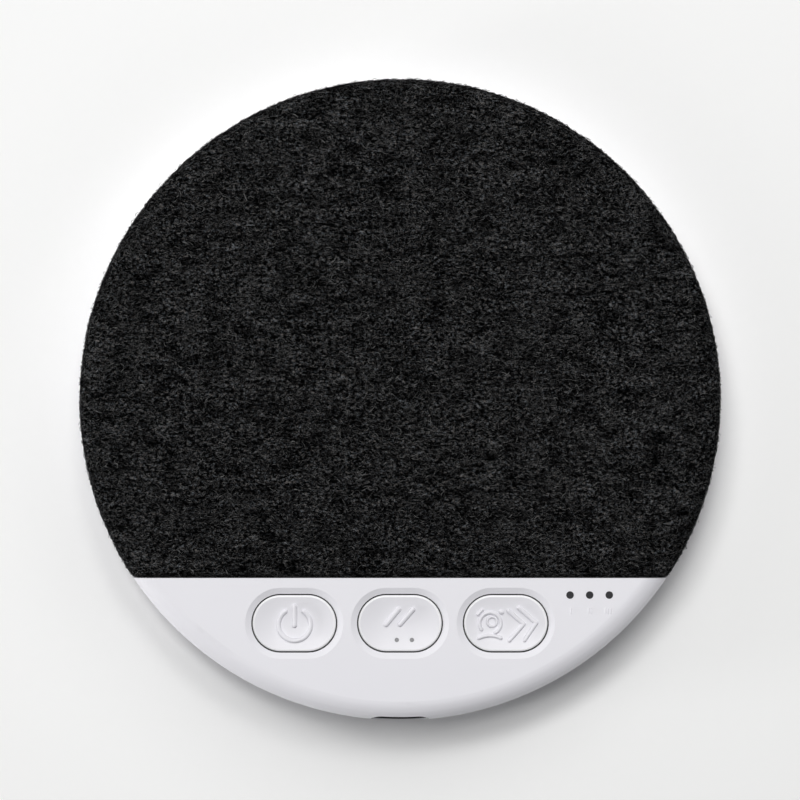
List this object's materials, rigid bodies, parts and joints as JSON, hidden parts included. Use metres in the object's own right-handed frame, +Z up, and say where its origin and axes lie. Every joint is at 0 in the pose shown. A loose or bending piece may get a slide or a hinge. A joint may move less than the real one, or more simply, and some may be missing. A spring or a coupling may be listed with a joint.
{
  "type": "pillow speaker",
  "caption": "Round flat pillow speaker: felt-covered top, white deck with three push keys and indicator lights, charging port in the rim, driver and battery inside.",
  "frame": {"origin": "on the table, under the centre of the round body", "axes": "+Z up out of the felt top; +Y from the key deck towards the felt; +X to the right along the row of keys"},
  "size_m": [0.1, 0.1, 0.014],
  "materials": {
    "white_shell": "moulded satin white",
    "key_caps": "moulded satin white",
    "felt": "dark heathered felt",
    "foam": "open-cell foam",
    "black_plastic": "moulded black",
    "rubber": "soft black rubber",
    "screws": "zinc-plated",
    "stainless": "bright stamped sheet",
    "driver_steel": "plated steel",
    "copper": "lacquered copper wire",
    "cone_paper": "pressed black pulp",
    "board": "green solder mask",
    "chip": "black moulded package",
    "bright_parts": "small metal and ceramic parts",
    "clear_lens": "smoked clear plastic",
    "led": "moulded diode",
    "foil": "laminated foil",
    "tape": "double-sided foam tape",
    "connector": "natural nylon",
    "red_wire": "red insulation",
    "black_wire": "black insulation"
  },
  "bodies": {
    "housing": {"base_shell": "white_shell", "upper_case": "white_shell", "cloth_cover": "felt", "foam_pad": "foam", "driver_gasket": "foam", "cloth_carrier": "black_plastic", "usb_tongue": "black_plastic", "rubber_feet": "rubber", "driver_surround": "rubber", "light_shield": "rubber", "case_screws": "screws", "board_screws": "screws", "driver_screws": "screws", "usb_shell": "stainless", "power_switch": "stainless", "play_switch": "stainless", "timer_switch": "stainless", "power_dome": "stainless", "play_dome": "stainless", "timer_dome": "stainless", "driver_basket": "driver_steel", "driver_yoke": "driver_steel", "driver_top_plate": "driver_steel", "driver_magnet": "driver_steel", "main_board": "board", "battery_guard_board": "board", "driver_terminal": "board", "radio_chip": "chip", "memory_chip": "chip", "amplifier_chip": "chip", "charger_chip": "chip", "power_inductor": "chip", "clock_crystal": "bright_parts", "board_capacitors": "bright_parts", "indicator_lenses": "clear_lens", "indicator_leds": "led", "play_leds": "led", "battery_cell": "foil", "battery_tape": "tape", "battery_plug": "connector", "battery_socket": "connector", "battery_lead_red": "red_wire", "speaker_lead_red": "red_wire", "battery_lead_black": "black_wire", "speaker_lead_black": "black_wire"},
    "power_key_body": {"power_key": "key_caps", "power_plunger": "black_plastic"},
    "play_key_body": {"play_key": "key_caps", "play_light_guides": "clear_lens", "play_plunger": "black_plastic"},
    "timer_key_body": {"timer_key": "key_caps", "timer_plunger": "black_plastic"},
    "cone_body": {"driver_cone": "cone_paper", "dust_cap": "cone_paper", "voice_coil": "copper"}
  },
  "joints": [
    {"name": "power_press", "type": "slide", "parent": "housing", "child": "power_key_body", "axis": [0, 0, -1], "range_m": [0, 0.00025], "stiffness_N_per_m": 300, "deforming": ["power_dome"]},
    {"name": "play_press", "type": "slide", "parent": "housing", "child": "play_key_body", "axis": [0, 0, -1], "range_m": [0, 0.00025], "stiffness_N_per_m": 300, "deforming": ["play_dome"]},
    {"name": "timer_press", "type": "slide", "parent": "housing", "child": "timer_key_body", "axis": [0, 0, -1], "range_m": [0, 0.00025], "stiffness_N_per_m": 300, "deforming": ["timer_dome"]},
    {"name": "cone_travel", "type": "slide", "parent": "housing", "child": "cone_body", "axis": [0, 0, 1], "range_m": [-0.00035, 0.00035], "stiffness_N_per_m": 400, "deforming": ["driver_surround"]}
  ]
}
